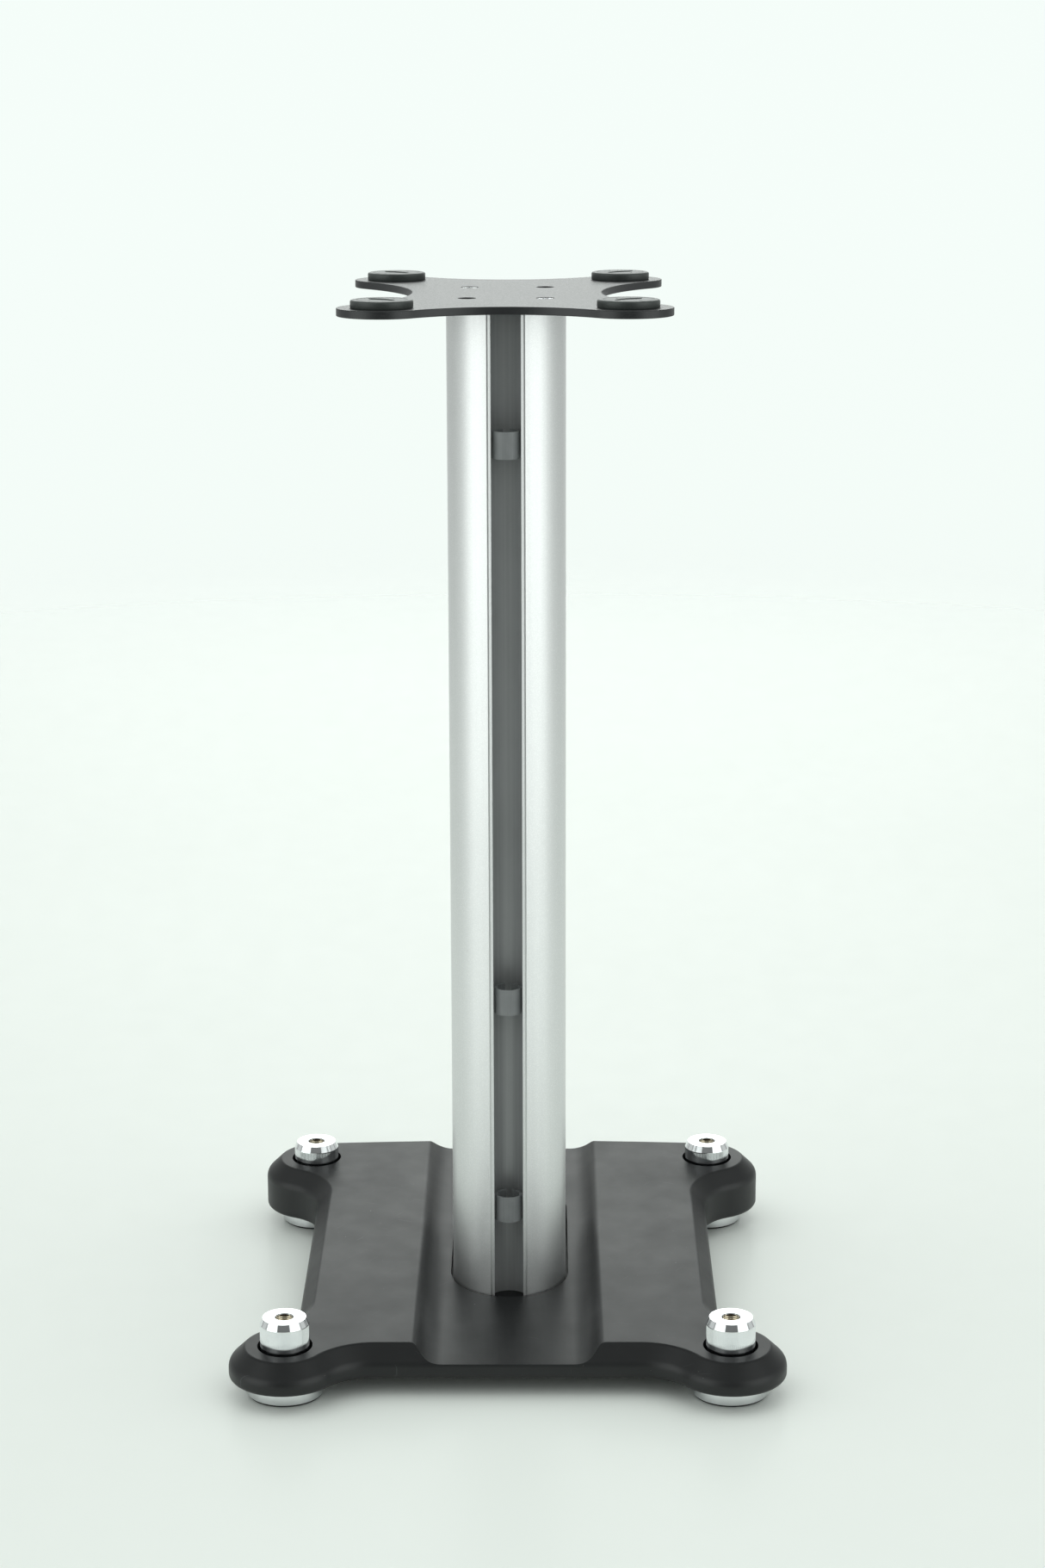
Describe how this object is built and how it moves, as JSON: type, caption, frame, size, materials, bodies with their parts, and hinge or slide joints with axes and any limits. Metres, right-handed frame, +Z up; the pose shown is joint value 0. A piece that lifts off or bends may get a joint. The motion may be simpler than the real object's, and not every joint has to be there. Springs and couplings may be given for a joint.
{
  "type": "loudspeaker stand",
  "caption": "Loudspeaker stand: wedge base on adjustable chrome feet, oval column with a clipped cable channel, and a padded top plate.",
  "frame": {"origin": "on the floor, at the centre of the base's footprint", "axes": "+Z up, +Y towards the stand's front, +X to the stand's right as seen from behind; the cable channel is on the rear, -Y, side"},
  "size_m": [0.3164, 0.3408, 0.6099],
  "materials": {
    "base_black": "satin black paint on cast metal",
    "column_silver": "fine bead-blasted satin anodising",
    "liner_grey": "satin dark grey extrusion",
    "plate_black": "fine textured powder coat",
    "pad_rubber": "soft moulded rubber",
    "knob_chrome": "polished, straight-knurled side",
    "disc_chrome": "polished",
    "stud_steel": "yellow zinc plate",
    "circlip_steel": "phosphated spring steel",
    "bush_brass": "turned",
    "washer_black": "nylon",
    "sole_rubber": "matt",
    "screw_zinc": "bright zinc plate",
    "clip_grey": "satin moulded"
  },
  "bodies": {
    "stand": {"base_plate": "base_black", "column": "column_silver", "channel_liner": "liner_grey", "top_plate": "plate_black", "top_plate_screws": "screw_zinc", "column_base_screws": "screw_zinc", "column_base_washers": "screw_zinc", "pad_rear_left": "pad_rubber", "pad_rear_right": "pad_rubber", "pad_front_left": "pad_rubber", "pad_front_right": "pad_rubber", "foot_bush_rear_left": "bush_brass", "foot_bush_rear_right": "bush_brass", "foot_bush_front_left": "bush_brass", "foot_bush_front_right": "bush_brass"},
    "foot_rear_left": {"foot_disc_rear_left": "disc_chrome", "foot_sole_rear_left": "sole_rubber"},
    "stud_rear_left": {"foot_stud_rear_left": "stud_steel", "stud_circlip_rear_left": "circlip_steel"},
    "washer_rear_left": {"knob_washer_rear_left": "washer_black"},
    "knob_rear_left": {"lock_knob_rear_left": "knob_chrome"},
    "foot_rear_right": {"foot_disc_rear_right": "disc_chrome", "foot_sole_rear_right": "sole_rubber"},
    "stud_rear_right": {"foot_stud_rear_right": "stud_steel", "stud_circlip_rear_right": "circlip_steel"},
    "washer_rear_right": {"knob_washer_rear_right": "washer_black"},
    "knob_rear_right": {"lock_knob_rear_right": "knob_chrome"},
    "foot_front_left": {"foot_disc_front_left": "disc_chrome", "foot_sole_front_left": "sole_rubber"},
    "stud_front_left": {"foot_stud_front_left": "stud_steel", "stud_circlip_front_left": "circlip_steel"},
    "washer_front_left": {"knob_washer_front_left": "washer_black"},
    "knob_front_left": {"lock_knob_front_left": "knob_chrome"},
    "foot_front_right": {"foot_disc_front_right": "disc_chrome", "foot_sole_front_right": "sole_rubber"},
    "stud_front_right": {"foot_stud_front_right": "stud_steel", "stud_circlip_front_right": "circlip_steel"},
    "washer_front_right": {"knob_washer_front_right": "washer_black"},
    "knob_front_right": {"lock_knob_front_right": "knob_chrome"},
    "clip_upper": {"cable_clip_upper": "clip_grey"},
    "clip_middle": {"cable_clip_middle": "clip_grey"},
    "clip_lower": {"cable_clip_lower": "clip_grey"}
  },
  "joints": [
    {"name": "foot_height_rear_left", "type": "slide", "parent": "stand", "child": "foot_rear_left", "axis": [0, 0, 1], "range_m": [-0.006, 0.00075]},
    {"name": "stud_turn_rear_left", "type": "hinge", "parent": "foot_rear_left", "child": "stud_rear_left", "pos_m": [-0.1262, -0.13845, 0.02], "axis": [0, 0, 1], "range_deg": [-1441, 181]},
    {"name": "washer_lift_rear_left", "type": "slide", "parent": "stand", "child": "washer_rear_left", "axis": [0, 0, 1], "range_m": [0, 0.003]},
    {"name": "knob_turn_rear_left", "type": "hinge", "parent": "washer_rear_left", "child": "knob_rear_left", "pos_m": [-0.1262, -0.13845, 0.03], "axis": [0, 0, 1], "range_deg": [0, 721]},
    {"name": "foot_height_rear_right", "type": "slide", "parent": "stand", "child": "foot_rear_right", "axis": [0, 0, 1], "range_m": [-0.006, 0.00075]},
    {"name": "stud_turn_rear_right", "type": "hinge", "parent": "foot_rear_right", "child": "stud_rear_right", "pos_m": [0.1262, -0.13845, 0.02], "axis": [0, 0, 1], "range_deg": [-1441, 181]},
    {"name": "washer_lift_rear_right", "type": "slide", "parent": "stand", "child": "washer_rear_right", "axis": [0, 0, 1], "range_m": [0, 0.003]},
    {"name": "knob_turn_rear_right", "type": "hinge", "parent": "washer_rear_right", "child": "knob_rear_right", "pos_m": [0.1262, -0.13845, 0.03], "axis": [0, 0, 1], "range_deg": [0, 721]},
    {"name": "foot_height_front_left", "type": "slide", "parent": "stand", "child": "foot_front_left", "axis": [0, 0, 1], "range_m": [-0.006, 0.00075]},
    {"name": "stud_turn_front_left", "type": "hinge", "parent": "foot_front_left", "child": "stud_front_left", "pos_m": [-0.1262, 0.13355, 0.02], "axis": [0, 0, 1], "range_deg": [-1441, 181]},
    {"name": "washer_lift_front_left", "type": "slide", "parent": "stand", "child": "washer_front_left", "axis": [0, 0, 1], "range_m": [0, 0.003]},
    {"name": "knob_turn_front_left", "type": "hinge", "parent": "washer_front_left", "child": "knob_front_left", "pos_m": [-0.1262, 0.13355, 0.03], "axis": [0, 0, 1], "range_deg": [0, 721]},
    {"name": "foot_height_front_right", "type": "slide", "parent": "stand", "child": "foot_front_right", "axis": [0, 0, 1], "range_m": [-0.006, 0.00075]},
    {"name": "stud_turn_front_right", "type": "hinge", "parent": "foot_front_right", "child": "stud_front_right", "pos_m": [0.1262, 0.13355, 0.02], "axis": [0, 0, 1], "range_deg": [-1441, 181]},
    {"name": "washer_lift_front_right", "type": "slide", "parent": "stand", "child": "washer_front_right", "axis": [0, 0, 1], "range_m": [0, 0.003]},
    {"name": "knob_turn_front_right", "type": "hinge", "parent": "washer_front_right", "child": "knob_front_right", "pos_m": [0.1262, 0.13355, 0.03], "axis": [0, 0, 1], "range_deg": [0, 721]},
    {"name": "clip_slide_upper", "type": "slide", "parent": "stand", "child": "clip_upper", "axis": [0, 0, 1], "range_m": [-0.12, 0.05]},
    {"name": "clip_slide_middle", "type": "slide", "parent": "stand", "child": "clip_middle", "axis": [0, 0, 1], "range_m": [-0.05, 0.15]},
    {"name": "clip_slide_lower", "type": "slide", "parent": "stand", "child": "clip_lower", "axis": [0, 0, 1], "range_m": [-0.04, 0.035]}
  ],
  "couplings": [
    {"joint": "stud_turn_rear_left", "follows": "foot_height_rear_left", "rad_per_m": 4188.8},
    {"joint": "knob_turn_rear_left", "follows": "washer_lift_rear_left", "rad_per_m": 4188.8},
    {"joint": "stud_turn_rear_right", "follows": "foot_height_rear_right", "rad_per_m": 4188.8},
    {"joint": "knob_turn_rear_right", "follows": "washer_lift_rear_right", "rad_per_m": 4188.8},
    {"joint": "stud_turn_front_left", "follows": "foot_height_front_left", "rad_per_m": 4188.8},
    {"joint": "knob_turn_front_left", "follows": "washer_lift_front_left", "rad_per_m": 4188.8},
    {"joint": "stud_turn_front_right", "follows": "foot_height_front_right", "rad_per_m": 4188.8},
    {"joint": "knob_turn_front_right", "follows": "washer_lift_front_right", "rad_per_m": 4188.8}
  ]
}
